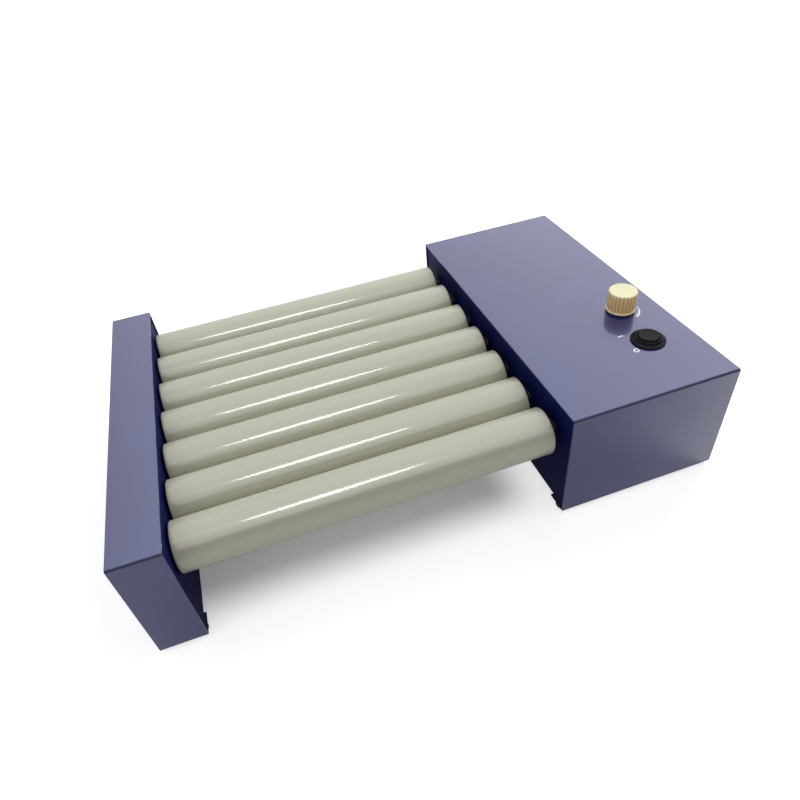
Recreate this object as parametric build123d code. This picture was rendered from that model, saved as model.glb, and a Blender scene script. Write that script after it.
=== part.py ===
from build123d import *
import math
import os

os.makedirs("parts", exist_ok=True)

# Tube roller mixer, in millimetres. X runs along the rollers, Y from front to back and Z up.
# The origin lies on the table, under the middle of the whole machine.

# Housings
case_depth = 254.0
case_height = 85.5
foot_height = 2.5
idler_case_width = 29.5
drive_case_width = 119.0
roller_bay = 243.5

# Folded sheet metal
cover_sheet = 1.2
base_sheet = 1.5
bend_radius = 1.0
cover_lip = 16.0
cover_play = 0.3
idler_recess = 1.0
drive_recess = 1.0
end_recess = 4.0
drive_base_flange = 12.0
idler_base_flange = 5.0

# Rollers
roller_diameter = 32.0
roller_wall = 2.4
roller_gap = 2.0
roller_from_face = 25.0
roller_axis_below_top = 27.0
roller_rim_chamfer = 0.7
idler_end_gap = 0.5
drive_end_gap = 5.0
plug_length = 14.0
plug_inset = 1.2
plug_play = 0.05
plug_boss_diameter = 9.0
shaft_diameter = 6.0
shaft_inside_idler_case = 9.0

# Bushes
bush_body_diameter = 10.0
bush_flange_diameter = 12.0
bush_flange = 1.0
bush_inner_length = 1.0
running_play = 0.05
end_play = 0.3

# Gear train
gear_teeth = 16
gear_module = 1.25
gear_pressure_angle = 20.0
gear_backlash = 0.2
gear_face = 8.0
gear_hub_diameter = 12.0
gear_hub = 3.0
gear_wall_gap = 1.5
stud_diameter = 6.0
stud_thread_diameter = 5.0
stud_head_diameter = 9.0
stud_head = 1.8
pinion_lean = 35.0

# Motor
gearbox_diameter = 37.0
gearbox_length = 26.0
motor_can_diameter = 33.0
motor_can_length = 31.0
motor_shaft_offset = 7.0
motor_boss_diameter = 12.0
motor_boss_length = 4.0
motor_shaft_depth = 12.0
motor_screw_radius = 15.5
bracket_sheet = 2.0
bracket_width = 44.0
bracket_above_motor = 1.5
bracket_foot = 24.0
bracket_gap = 2.0

# Tie bars and fasteners
tie_bar_diameter = 10.0
tie_bar_spread = 110.0
tie_bar_above_case = 13.5
tie_thread_diameter = 5.0
tie_thread_depth = 14.0
tie_thread_gap = 2.0
tie_head_diameter = 8.5
tie_head = 3.5
screw_diameter = 3.0
screw_head_diameter = 5.5
screw_head = 1.8
screw_head_round = 1.1
screw_grip = 6.5
screw_play = 0.05
screw_from_face = 9.0
screw_from_end = 30.0

# Feet
foot_diameter = 10.0
foot_from_end = 5.0
foot_from_face = 7.6
foot_round = 0.6

# Speed knob
knob_from_right = 28.5
knob_from_front = 89.4
knob_top_diameter = 20.4
knob_base_diameter = 21.0
knob_gap = 1.5
knob_height = 15.2
knob_rim = 1.6
knob_ribs = 24
knob_groove_diameter = 1.7
knob_groove_depth = 0.5
knob_edge = 0.7
knob_recess_diameter = 15.0
knob_recess = 3.5
knob_bore_depth = 11.0
spindle_diameter = 6.0
pot_diameter = 16.5
pot_length = 9.0
pot_bushing_diameter = 7.0
pot_bushing_above = 3.0
pot_nut_flats = 10.0
pot_nut = 2.0

# Power switch
switch_from_right = 32.6
switch_from_front = 50.6
switch_flange_diameter = 23.5
switch_flange = 0.9
switch_flange_round = 0.4
switch_collar_diameter = 17.2
switch_collar_height = 3.4
switch_collar_slope = 1.0
switch_rim_chamfer = 0.3
switch_collar_round = 0.3
switch_tag_width = 4.0
switch_tag_sheet = 0.8
switch_tag_length = 7.0
switch_body_diameter = 19.4
switch_body_length = 24.0
switch_nut_diameter = 25.0
switch_nut = 3.0
button_diameter = 14.2
button_height = 4.4
button_play = 0.3
button_depth = 5.0
button_stem_diameter = 6.0
button_travel = 3.0
button_edge = 0.6
button_rim = 1.4
button_dish = 0.4

# Power inlet, on the end wall
inlet_from_back = 47.0
inlet_above_case = 30.0
inlet_flange_width = 31.0
inlet_flange_height = 24.0
inlet_flange = 2.5
inlet_flange_corner = 2.0
inlet_body_width = 27.0
inlet_body_height = 20.0
inlet_body_depth = 18.0
inlet_cavity_width = 24.4
inlet_cavity_height = 16.4
inlet_cavity_depth = 16.5
inlet_corner = 4.0
inlet_pin_width = 2.0
inlet_pin_height = 4.0
inlet_pin_length = 12.0
inlet_pin_spread = 14.0
inlet_pin_offset = 2.0
inlet_tag_length = 7.0

# Control board
board_length = 60.0
board_width = 58.0
board_sheet = 1.6
board_standoff = 8.0
board_standoff_diameter = 6.0
board_corner = 4.0
board_from_end_wall = 10.0
board_from_front = 45.0
transformer_size = 26.0
transformer_height = 22.0
capacitor_diameter = 12.0
capacitor_height = 20.0
heat_sink_length = 24.0
heat_sink_fins = 5
heat_sink_depth = 6.0
heat_sink_sheet = 1.2
terminal_length = 20.0
terminal_width = 8.0
terminal_height = 9.0

# How far a cut runs past the face that it opens
overshoot = 1.0

# Places that follow from the sizes above
total_length = idler_case_width + roller_bay + drive_case_width
left_end = -total_length / 2
right_end = total_length / 2
idler_edge = left_end + idler_case_width
drive_edge = right_end - drive_case_width
idler_wall_face = idler_edge - idler_recess
drive_wall_face = drive_edge + drive_recess
idler_wall_back = idler_wall_face - base_sheet
drive_wall_back = drive_wall_face + base_sheet
idler_end_wall = left_end + end_recess
drive_end_wall = right_end - end_recess
case_bottom = foot_height
case_top = foot_height + case_height
cover_inner_top = case_top - cover_sheet
base_bottom = case_bottom + cover_sheet
base_floor = base_bottom + base_sheet
base_top = cover_inner_top - cover_play
base_half_depth = case_depth / 2 - cover_sheet - bend_radius
roller_axis = case_top - roller_axis_below_top
roller_radius = roller_diameter / 2
roller_pitch = roller_diameter + roller_gap
roller_count = round((case_depth - 2 * roller_from_face) / roller_pitch) + 1
roller_start = idler_edge + idler_end_gap
roller_end = drive_edge - drive_end_gap
shaft_radius = shaft_diameter / 2
roller_places = [(i - (roller_count - 1) / 2) * roller_pitch for i in range(roller_count)]
tie_bar_axis = case_bottom + tie_bar_above_case
tie_bar_places = [-tie_bar_spread / 2, tie_bar_spread / 2]
knob_x = right_end - knob_from_right
knob_y = knob_from_front - case_depth / 2
switch_x = right_end - switch_from_right
switch_y = switch_from_front - case_depth / 2
inlet_y = case_depth / 2 - inlet_from_back
inlet_z = case_bottom + inlet_above_case

# Gear train: idler gears hang between and below the roller gears, all of one size, and the
# motor's pinion leans to the back below the middle one
gear_pitch_radius = gear_module * gear_teeth / 2
gear_centres = 2 * gear_pitch_radius
idler_drop = math.sqrt(gear_centres ** 2 - (roller_pitch / 2) ** 2)
idler_gear_axis = roller_axis - idler_drop
idler_places = [y + roller_pitch / 2 for y in roller_places[:-1]]
gear_start = drive_wall_back + bush_inner_length + gear_wall_gap
gear_finish = gear_start + gear_face
gear_hub_end = gear_finish + gear_hub
driven_idler = len(idler_places) // 2
pinion_y = idler_places[driven_idler] + gear_centres * math.sin(math.radians(pinion_lean))
pinion_axis = idler_gear_axis - gear_centres * math.cos(math.radians(pinion_lean))
motor_axis = pinion_axis + motor_shaft_offset
bracket_start = gear_hub_end + bracket_gap
motor_face = bracket_start + bracket_sheet


def block(x0, x1, y0, y1, z0, z1):
    """A box between two corners."""
    centre = ((x0 + x1) / 2, (y0 + y1) / 2, (z0 + z1) / 2)
    return Pos(*centre) * Box(x1 - x0, y1 - y0, z1 - z0)


def rod(diameter, x0, x1, y, z):
    """A round bar along X."""
    face = Plane((x0, y, z), x_dir=(0, 1, 0), z_dir=(1, 0, 0)) * Circle(diameter / 2)
    return extrude(face, amount=x1 - x0)


def post(diameter, x, y, z0, z1):
    """A round bar along Z."""
    return extrude(Plane.XY.offset(z0) * Pos(x, y) * Circle(diameter / 2), amount=z1 - z0)


def bore_along_x(diameter, x0, x1, y, z):
    """A cut for a round hole along X, open at both ends."""
    return rod(diameter, x0 - overshoot, x1 + overshoot, y, z)


def bore_upright(diameter, x, y, z0, z1):
    """A cut for a round hole along Z, open at both ends."""
    return post(diameter, x, y, z0 - overshoot, z1 + overshoot)


def turned_along_x(profile, y, z):
    """A turned piece on an axis along X, from (x, radius) corners."""
    corners = [(x, y, z + radius) for x, radius in profile]
    face = make_face(Polyline(*corners, close=True))
    return revolve(face, Axis((0, y, z), (1, 0, 0)), 360)


def turned_upright(profile, x, y):
    """A turned piece on a vertical axis, from (radius, z) corners."""
    corners = [(x + radius, y, z) for radius, z in profile]
    face = make_face(Polyline(*corners, close=True))
    return revolve(face, Axis((x, y, 0), (0, 0, 1)), 360)


def save(name, *pieces):
    """Writes one sub-part, which may be a group of like pieces."""
    solids = [solid for piece in pieces for solid in piece.solids()]
    shape = solids[0] if len(solids) == 1 else Compound(children=solids)
    shape.label = name
    export_step(shape, f"parts/{name}.step")


def folded_section(width, height, sheet, lip, plane):
    """A sheet folded four times into a box that stays open between two lips on its upper side."""
    outer = RectangleRounded(width, height, bend_radius + sheet)
    inner = RectangleRounded(width - 2 * sheet, height - 2 * sheet, bend_radius)
    mouth = Pos(0, height / 2 - sheet / 2) * Rectangle(width - 2 * lip, 2 * sheet)
    return plane * (outer - inner - mouth)


def cover(x0, x1):
    """A cover: front, top and back in one sheet, with lips turned in below."""
    middle = (case_bottom + case_top) / 2
    plane = Plane((x0, 0, middle), x_dir=(0, -1, 0), z_dir=(1, 0, 0))
    section = folded_section(case_depth, case_height, cover_sheet, cover_lip, plane)
    return extrude(section, amount=x1 - x0)


def base(x0, x1, flange):
    """A base: bearing wall, floor and end wall in one sheet, with flanges under the cover."""
    middle = ((x0 + x1) / 2, base_half_depth, (base_bottom + base_top) / 2)
    plane = Plane(middle, x_dir=(1, 0, 0), z_dir=(0, -1, 0))
    section = folded_section(x1 - x0, base_top - base_bottom, base_sheet, flange, plane)
    return extrude(section, amount=2 * base_half_depth)


def cover_screw_places():
    """Centres of the screws that hold the covers, seen from below."""
    y = case_depth / 2 - screw_from_face
    drive = [drive_edge + screw_from_end, right_end - screw_from_end]
    idler = [(left_end + idler_edge) / 2]
    return [(x, side * y) for x in drive + idler for side in (-1, 1)]


def cover_screw_holes():
    """Clearance through the lips and the floors for the cover screws."""
    hole = screw_diameter + 2 * screw_play
    return [bore_upright(hole, x, y, case_bottom, base_floor) for x, y in cover_screw_places()]


def bearing_wall_holes(x0, x1):
    """Holes for the seven bushes and the two tie bar screws."""
    seat = bush_body_diameter + 2 * screw_play
    bushes = [bore_along_x(seat, x0, x1, y, roller_axis) for y in roller_places]
    tie_hole = tie_thread_diameter + 2 * screw_play
    return bushes + [bore_along_x(tie_hole, x0, x1, y, tie_bar_axis) for y in tie_bar_places]


def drive_cover():
    """The cover over the motor, with holes for the speed control and the switch."""
    shell = cover(drive_edge, right_end)
    pot_hole = pot_bushing_diameter + 2 * screw_play
    switch_hole = switch_body_diameter + 2 * screw_play
    shell -= bore_upright(pot_hole, knob_x, knob_y, cover_inner_top, case_top)
    shell -= bore_upright(switch_hole, switch_x, switch_y, cover_inner_top, case_top)
    return shell - cover_screw_holes()


def drive_base():
    """The base that carries the gear train, the motor and the electrics."""
    tray = base(drive_wall_face, drive_end_wall, drive_base_flange)
    x0 = drive_wall_face
    x1 = drive_wall_back
    tray -= bearing_wall_holes(x0, x1)
    stud_hole = stud_thread_diameter + 2 * screw_play
    tray -= [bore_along_x(stud_hole, x0, x1, y, idler_gear_axis) for y in idler_places]
    inlet_hole = block(
        drive_end_wall - 2 * base_sheet,
        drive_end_wall + overshoot,
        inlet_y - inlet_body_width / 2 - screw_play,
        inlet_y + inlet_body_width / 2 + screw_play,
        inlet_z - inlet_body_height / 2 - screw_play,
        inlet_z + inlet_body_height / 2 + screw_play,
    )
    hole = screw_diameter + 2 * screw_play
    places = bracket_screw_places() + board_corners()
    tray -= [bore_upright(hole, x, y, base_bottom, base_floor) for x, y in places]
    return tray - inlet_hole - cover_screw_holes()


def idler_base():
    """The narrow base that carries the idle ends of the rollers."""
    tray = base(idler_end_wall, idler_wall_face, idler_base_flange)
    tray -= bearing_wall_holes(idler_wall_back, idler_wall_face)
    return tray - cover_screw_holes()


def roller_sleeve(y):
    """A grey plastic tube with its outer rims broken."""
    sleeve = rod(roller_diameter, roller_start, roller_end, y, roller_axis)
    sleeve = chamfer(sleeve.edges().filter_by(GeomType.CIRCLE), roller_rim_chamfer)
    bore = roller_diameter - 2 * roller_wall
    return sleeve - bore_along_x(bore, roller_start, roller_end, y, roller_axis)


def end_plug(y, rim, inward, bush_face):
    """A plug in one end of a sleeve, with a boss that runs against the bush."""
    plug_radius = roller_radius - roller_wall - plug_play
    bore = shaft_radius + plug_play
    mouth = rim + inward * plug_inset
    deep = mouth + inward * plug_length
    tip = bush_face + inward * end_play
    profile = [
        (tip, bore),
        (tip, plug_boss_diameter / 2),
        (mouth, plug_boss_diameter / 2),
        (mouth, plug_radius),
        (deep, plug_radius),
        (deep, bore),
    ]
    return turned_along_x(profile, y, roller_axis)


def roller_plugs(y):
    """The two end plugs of one roller."""
    idler_plug = end_plug(y, roller_start, 1, idler_wall_face + bush_flange)
    drive_plug = end_plug(y, roller_end, -1, drive_wall_face - bush_flange)
    return idler_plug, drive_plug


def roller_shaft(y):
    """The steel shaft through a roller, from the idler housing to the gear."""
    start = idler_wall_face - shaft_inside_idler_case
    return rod(shaft_diameter, start, gear_hub_end, y, roller_axis)


def bush(y, wall_face, inward):
    """A flanged bush, pressed into a bearing wall from the roller side."""
    bore = shaft_radius + running_play
    flange_face = wall_face - inward * bush_flange
    inner_end = wall_face + inward * (base_sheet + bush_inner_length)
    profile = [
        (flange_face, bore),
        (flange_face, bush_flange_diameter / 2),
        (wall_face, bush_flange_diameter / 2),
        (wall_face, bush_body_diameter / 2),
        (inner_end, bush_body_diameter / 2),
        (inner_end, bore),
    ]
    return turned_along_x(profile, y, roller_axis)


def involute(radius, base_radius):
    """How far an involute has turned by the time it reaches a radius, in radians."""
    angle = math.acos(base_radius / radius)
    return math.tan(angle) - angle


def gear_outline():
    """Involute teeth, the first on local X: an arc stands for each flank's involute."""
    base_radius = gear_pitch_radius * math.cos(math.radians(gear_pressure_angle))
    tip_radius = gear_pitch_radius + gear_module
    root_radius = gear_pitch_radius - 1.25 * gear_module
    middle_radius = (base_radius + tip_radius) / 2
    half_tooth = math.pi / (2 * gear_teeth) - gear_backlash / (4 * gear_pitch_radius)
    half_tooth += involute(gear_pitch_radius, base_radius)

    def point(radius, tooth, side):
        turn = half_tooth - involute(max(radius, base_radius), base_radius)
        angle = 2 * math.pi * tooth / gear_teeth + side * turn
        return (radius * math.cos(angle), radius * math.sin(angle))

    radii = [root_radius, base_radius, middle_radius, tip_radius]
    edges = []
    for tooth in range(gear_teeth):
        rising = [point(radius, tooth, -1) for radius in radii]
        falling = [point(radius, tooth, 1) for radius in reversed(radii)]
        next_root = point(root_radius, tooth + 1, -1)
        edges.append(Line(rising[0], rising[1]))
        edges.append(ThreePointArc(rising[1], rising[2], rising[3]))
        edges.append(Line(rising[3], falling[0]))
        edges.append(ThreePointArc(falling[0], falling[1], falling[2]))
        edges.append(Line(falling[2], falling[3]))
        edges.append(Line(falling[3], next_root))
    return make_face(edges)


def meshing_phase(y, z, phase, other_y, other_z):
    """The phase that puts a gap of the other gear on a tooth of this one, in degrees."""
    tooth = 360 / gear_teeth
    bearing = math.degrees(math.atan2(other_z - z, other_y - y))
    return (2 * bearing + 180 - phase - tooth / 2) % tooth


def gear(y, z, phase, hub_start, hub_finish, bore):
    """A moulded spur gear with a hub along its shaft."""
    plane = Plane((gear_start, y, z), x_dir=(0, 1, 0), z_dir=(1, 0, 0))
    wheel = extrude(plane * Rot(0, 0, phase) * gear_profile, amount=gear_face)
    wheel += rod(gear_hub_diameter, hub_start, hub_finish, y, z)
    if bore:
        wheel -= bore_along_x(bore, hub_start, hub_finish, y, z)
    return wheel


def gear_phases():
    """Phases along the train, each gear set from the one before it."""
    roller_phases = [0.0]
    idler_phases = []
    for i, idler_y in enumerate(idler_places):
        before = roller_places[i]
        after = roller_places[i + 1]
        idler = meshing_phase(before, roller_axis, roller_phases[-1], idler_y, idler_gear_axis)
        idler_phases.append(idler)
        roller_phases.append(meshing_phase(idler_y, idler_gear_axis, idler, after, roller_axis))
    return roller_phases, idler_phases


def roller_gear(y, phase):
    """The gear on the drive end of a roller's shaft."""
    bore = shaft_diameter + 2 * plug_play
    return gear(y, roller_axis, phase, gear_start, gear_hub_end, bore)


def idler_gear(y, phase):
    """A gear between two roller gears, so that all rollers turn one way."""
    bore = stud_diameter + 2 * running_play
    hub_start = drive_wall_back + end_play
    return gear(y, idler_gear_axis, phase, hub_start, gear_finish, bore)


def idler_stud(y):
    """A shoulder screw in the bearing wall that an idler gear turns on."""
    head = gear_finish + end_play
    profile = [
        (drive_wall_face, 0),
        (drive_wall_face, stud_thread_diameter / 2),
        (drive_wall_back, stud_thread_diameter / 2),
        (drive_wall_back, stud_diameter / 2),
        (head, stud_diameter / 2),
        (head, stud_head_diameter / 2),
        (head + stud_head, stud_head_diameter / 2),
        (head + stud_head, 0),
    ]
    return turned_along_x(profile, y, idler_gear_axis)


def motor_pinion(phase):
    """The gear cut on the end of the motor's output shaft."""
    wheel = gear(pinion_y, pinion_axis, phase, gear_start, gear_finish, 0)
    shaft_end = motor_face + motor_shaft_depth - end_play
    return wheel + rod(shaft_diameter, gear_start, shaft_end, pinion_y, pinion_axis)


def gear_motor():
    """A geared motor with its output shaft off centre."""
    back = motor_face + gearbox_length
    body = rod(gearbox_diameter, motor_face, back, pinion_y, motor_axis)
    body += rod(motor_can_diameter, back, back + motor_can_length, pinion_y, motor_axis)
    boss_start = motor_face - motor_boss_length
    body += rod(motor_boss_diameter, boss_start, motor_face, pinion_y, pinion_axis)
    bore = shaft_diameter + 2 * running_play
    shaft_end = motor_face + motor_shaft_depth
    body -= rod(bore, boss_start - overshoot, shaft_end, pinion_y, pinion_axis)
    hole = screw_diameter + 2 * screw_play
    for y, z in motor_screw_places():
        body -= rod(hole, motor_face - overshoot, motor_face + screw_grip, y, z)
    return body


def motor_screw_places():
    """Three screws round the gearbox, clear of its boss."""
    angles = [math.radians(a) for a in (90, 210, 330)]
    return [
        (pinion_y + motor_screw_radius * math.cos(a), motor_axis + motor_screw_radius * math.sin(a))
        for a in angles
    ]


def bracket_screw_places():
    """The two screws that hold the motor bracket to the floor."""
    x = bracket_start + bracket_foot - 2 * screw_head_diameter
    reach = bracket_width / 2 - screw_head_diameter
    return [(x, pinion_y - reach), (x, pinion_y + reach)]


def motor_bracket():
    """An angle folded from sheet: a plate for the motor and a foot on the floor."""
    y0 = pinion_y - bracket_width / 2
    y1 = pinion_y + bracket_width / 2
    plate_top = motor_axis + gearbox_diameter / 2 + bracket_above_motor
    plate = block(bracket_start, motor_face, y0, y1, base_floor, plate_top)
    foot_end = bracket_start + bracket_foot
    angle = plate + block(bracket_start, foot_end, y0, y1, base_floor, base_floor + bracket_sheet)
    outer_fold = angle.edges().filter_by(Axis.Y).sort_by(lambda e: e.center().X + e.center().Z)[0]
    angle = fillet(outer_fold, bend_radius)
    boss = motor_boss_diameter + 2 * screw_play
    angle -= bore_along_x(boss, bracket_start, motor_face, pinion_y, pinion_axis)
    hole = screw_diameter + 2 * screw_play
    angle -= [bore_along_x(hole, bracket_start, motor_face, y, z) for y, z in motor_screw_places()]
    foot_top = base_floor + bracket_sheet
    return angle - [bore_upright(hole, x, y, base_floor, foot_top) for x, y in bracket_screw_places()]


def upright_screw(x, y, seat, up):
    """A pan head screw along Z: its head lies on the seat and its shank points up or down."""
    head = post(screw_head_diameter, x, y, *sorted((seat, seat - up * screw_head)))
    rims = head.edges().filter_by(GeomType.CIRCLE).sort_by(Axis.Z)
    head = fillet(rims[0 if up > 0 else -1], screw_head_round)
    return head + post(screw_diameter, x, y, *sorted((seat, seat + up * screw_grip)))


def motor_screw(y, z):
    """A pan head screw through the bracket into the gearbox."""
    grip_end = bracket_start + screw_grip
    head = rod(screw_head_diameter, bracket_start - screw_head, bracket_start, y, z)
    head = fillet(head.edges().filter_by(GeomType.CIRCLE).sort_by(Axis.X)[0], screw_head_round)
    return head + rod(screw_diameter, bracket_start, grip_end, y, z)


def pan_head_screws():
    """All M3 screws: covers, motor bracket, motor and control board."""
    screws = [upright_screw(x, y, case_bottom, 1) for x, y in cover_screw_places()]
    screws += [upright_screw(x, y, base_bottom, 1) for x, y in bracket_screw_places()]
    screws += [motor_screw(y, z) for y, z in motor_screw_places()]
    board_top = base_floor + board_standoff + board_sheet
    screws += [upright_screw(x, y, board_top, -1) for x, y in board_corners()]
    return screws


def tie_bar(y):
    """A round bar between the bearing walls, tapped at both ends."""
    bar = rod(tie_bar_diameter, idler_wall_face, drive_wall_face, y, tie_bar_axis)
    thread = tie_thread_diameter
    start = idler_wall_face - overshoot
    finish = drive_wall_face + overshoot
    bar -= rod(thread, start, idler_wall_face + tie_thread_depth, y, tie_bar_axis)
    return bar - rod(thread, drive_wall_face - tie_thread_depth, finish, y, tie_bar_axis)


def tie_screw(y, wall_back, inward):
    """A screw from inside a housing into the end of a tie bar."""
    head_end = wall_back + inward * tie_head
    tip = wall_back - inward * (base_sheet + tie_thread_depth - tie_thread_gap)
    thread = tie_thread_diameter - 2 * screw_play
    head = rod(tie_head_diameter, *sorted((wall_back, head_end)), y, tie_bar_axis)
    return head + rod(thread, *sorted((wall_back, tip)), y, tie_bar_axis)


def rubber_foot(x, y):
    """A stick-on pad with its lower rim rounded."""
    pad = post(foot_diameter, x, y, 0, foot_height)
    return fillet(pad.edges().filter_by(GeomType.CIRCLE).sort_by(Axis.Z)[0], foot_round)


def rubber_feet():
    """Eight pads, one under each corner of each housing."""
    ends = [
        left_end + foot_from_end,
        idler_edge - foot_from_end,
        drive_edge + foot_from_end,
        right_end - foot_from_end,
    ]
    y = case_depth / 2 - foot_from_face
    return [rubber_foot(x, side * y) for x in ends for side in (-1, 1)]


def speed_knob():
    """A ribbed knob on a plain rim, hollow below for the nut."""
    bottom = case_top + knob_gap
    top = bottom + knob_height
    base_radius = knob_base_diameter / 2
    top_radius = knob_top_diameter / 2
    bore = (spindle_diameter + 2 * plug_play) / 2
    recess = knob_recess_diameter / 2
    profile = [
        (recess, bottom),
        (base_radius, bottom),
        (base_radius, bottom + knob_rim),
        (top_radius, top),
        (0, top),
        (0, bottom + knob_bore_depth),
        (bore, bottom + knob_bore_depth),
        (bore, bottom + knob_recess),
        (recess, bottom + knob_recess),
    ]
    knob = turned_upright(profile, knob_x, knob_y)
    knob = fillet(knob.edges().filter_by(GeomType.CIRCLE).sort_by(Axis.Z)[-1], knob_edge)
    groove = Circle(knob_groove_diameter / 2)
    reach = base_radius + knob_groove_diameter / 2 - knob_groove_depth
    rim_top = Plane.XY.offset(bottom + knob_rim) * Pos(knob_x, knob_y)
    places = PolarLocations(reach, knob_ribs)
    return knob - [extrude(rim_top * place * groove, amount=knob_height) for place in places]


def speed_spindle():
    """The control's turning spindle, which carries the knob."""
    start = cover_inner_top - pot_length / 2
    finish = case_top + knob_gap + knob_bore_depth - end_play
    return post(spindle_diameter, knob_x, knob_y, start, finish)


def speed_potentiometer():
    """The speed control under the panel, with its bushing through it."""
    bushing = pot_bushing_diameter / 2
    body = pot_diameter / 2
    bottom = cover_inner_top - pot_length
    profile = [
        (0, bottom),
        (body, bottom),
        (body, cover_inner_top),
        (bushing, cover_inner_top),
        (bushing, case_top + pot_bushing_above),
        (0, case_top + pot_bushing_above),
    ]
    pot = turned_upright(profile, knob_x, knob_y)
    bore = spindle_diameter + 2 * running_play
    depth = cover_inner_top - pot_length / 2 - end_play
    return pot - post(bore, knob_x, knob_y, depth, case_top + 2 * pot_bushing_above)


def potentiometer_nut():
    """The flat nut that clamps the control to the panel, hidden under the knob."""
    place = Plane.XY.offset(case_top) * Pos(knob_x, knob_y)
    nut = extrude(place * RegularPolygon(pot_nut_flats / 2, 6, major_radius=False), amount=pot_nut)
    hole = pot_bushing_diameter + 2 * screw_play
    return nut - bore_upright(hole, knob_x, knob_y, case_top, case_top + pot_nut)


def power_switch():
    """The switch body: a sloping flange and collar above the panel, a threaded body below it."""
    well = button_diameter / 2 + button_play
    flange = switch_flange_diameter / 2
    collar = switch_collar_diameter / 2
    body = switch_body_diameter / 2
    well_floor = case_top - button_depth - button_travel - overshoot
    bottom = cover_inner_top - switch_body_length
    profile = [
        (0, bottom),
        (body, bottom),
        (body, case_top),
        (flange, case_top),
        (flange, case_top + switch_flange),
        (collar + switch_collar_slope, case_top + 2 * switch_flange),
        (collar, case_top + switch_collar_height),
        (well + switch_rim_chamfer, case_top + switch_collar_height),
        (well, case_top + switch_collar_height - switch_rim_chamfer),
        (well, well_floor),
        (0, well_floor),
    ]
    switch = turned_upright(profile, switch_x, switch_y)
    flange_rim = switch.edges().filter_by(GeomType.CIRCLE).sort_by(lambda e: e.radius)[-2:]
    switch = fillet(flange_rim.sort_by(Axis.Z)[-1], switch_flange_round)
    collar_rim = switch.edges().filter_by(GeomType.CIRCLE).filter_by(
        lambda e: math.isclose(e.radius, collar, abs_tol=0.01))
    switch = fillet(collar_rim, switch_collar_round)
    stem = button_stem_diameter + 2 * running_play
    hole_start = well_floor - button_travel - overshoot
    switch -= post(stem, switch_x, switch_y, hole_start, well_floor + overshoot)
    tag = Pos(switch_x, switch_y) * Rectangle(switch_tag_width, switch_tag_sheet)
    foot = Plane.XY.offset(bottom - switch_tag_length)
    for side in (-1, 1):
        switch += extrude(foot * Pos(side * body / 2, 0) * tag, amount=switch_tag_length + overshoot)
    return switch


def switch_nut_ring():
    """The ring nut under the panel."""
    bottom = cover_inner_top - switch_nut
    ring = post(switch_nut_diameter, switch_x, switch_y, bottom, cover_inner_top)
    hole = switch_body_diameter + 2 * screw_play
    return ring - bore_upright(hole, switch_x, switch_y, bottom, cover_inner_top)


def switch_button():
    """The push button with a shallow dish in its top, and the stem that guides it."""
    radius = button_diameter / 2
    top = case_top + button_height
    skirt = case_top - button_depth
    stem_end = skirt - button_travel
    profile = [
        (0, stem_end),
        (button_stem_diameter / 2, stem_end),
        (button_stem_diameter / 2, skirt),
        (radius, skirt),
        (radius, top),
        (radius - button_rim, top),
        (radius / 2, top - button_dish),
        (0, top - button_dish),
    ]
    button = turned_upright(profile, switch_x, switch_y)
    rim = button.edges().filter_by(GeomType.CIRCLE).filter_by(lambda e: e.center().Z > top - button_dish / 2)
    return fillet(rim.sort_by(lambda e: e.radius)[-1], button_edge)


def inlet_outline(width, height):
    """The inlet's socket shape, a rectangle with its two lower corners cut."""
    outline = Rectangle(width, height)
    return chamfer(outline.vertices().group_by(Axis.Y)[0], inlet_corner)


def power_inlet():
    """A snap-in power inlet: flange outside the end wall, socket behind it."""
    plane = Plane((drive_end_wall, inlet_y, inlet_z), x_dir=(0, 1, 0), z_dir=(1, 0, 0))
    rim = RectangleRounded(inlet_flange_width, inlet_flange_height, inlet_flange_corner)
    flange = extrude(plane * rim, amount=inlet_flange)
    shell = extrude(plane * Rectangle(inlet_body_width, inlet_body_height), amount=-inlet_body_depth)
    mouth = plane.offset(inlet_flange)
    cavity = mouth * inlet_outline(inlet_cavity_width, inlet_cavity_height)
    inlet = flange + shell - extrude(cavity, amount=-inlet_cavity_depth)
    floor = plane.offset(inlet_flange - inlet_cavity_depth)
    slot = Rectangle(inlet_pin_width, inlet_pin_height)
    places = inlet_pin_places()
    return inlet - [extrude(floor * Pos(*p) * slot, amount=-inlet_body_depth) for p in places]


def inlet_pin_places():
    """Two current pins side by side, and the earth pin above them."""
    half = inlet_pin_spread / 2
    return [(-half, -inlet_pin_offset), (half, -inlet_pin_offset), (0, inlet_pin_offset)]


def inlet_pins():
    """Three blades through the floor of the socket, with solder tags behind."""
    floor = drive_end_wall + inlet_flange - inlet_cavity_depth
    start = drive_end_wall - inlet_body_depth - inlet_tag_length
    plane = Plane((start, inlet_y, inlet_z), x_dir=(0, 1, 0), z_dir=(1, 0, 0))
    length = floor + inlet_pin_length - start
    width = inlet_pin_width - 2 * screw_play
    height = inlet_pin_height - 2 * screw_play
    blade = Rectangle(width, height)
    return [extrude(plane * Pos(*p) * blade, amount=length) for p in inlet_pin_places()]


def board_centre():
    """The middle of the control board, on the floor of the drive housing."""
    x = drive_end_wall - board_from_end_wall - board_length / 2
    return x, board_from_front - case_depth / 2


def board_corners():
    """The four standoffs under the control board."""
    x, y = board_centre()
    reach_x = board_length / 2 - board_corner
    reach_y = board_width / 2 - board_corner
    return [(x + i * reach_x, y + j * reach_y) for i in (-1, 1) for j in (-1, 1)]


def board_standoffs():
    """Four spacers between the floor and the control board."""
    hole = screw_diameter + 2 * screw_play
    top = base_floor + board_standoff
    places = board_corners()
    spacers = [post(board_standoff_diameter, x, y, base_floor, top) for x, y in places]
    return [s - bore_upright(hole, x, y, base_floor, top) for s, (x, y) in zip(spacers, places)]


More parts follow.
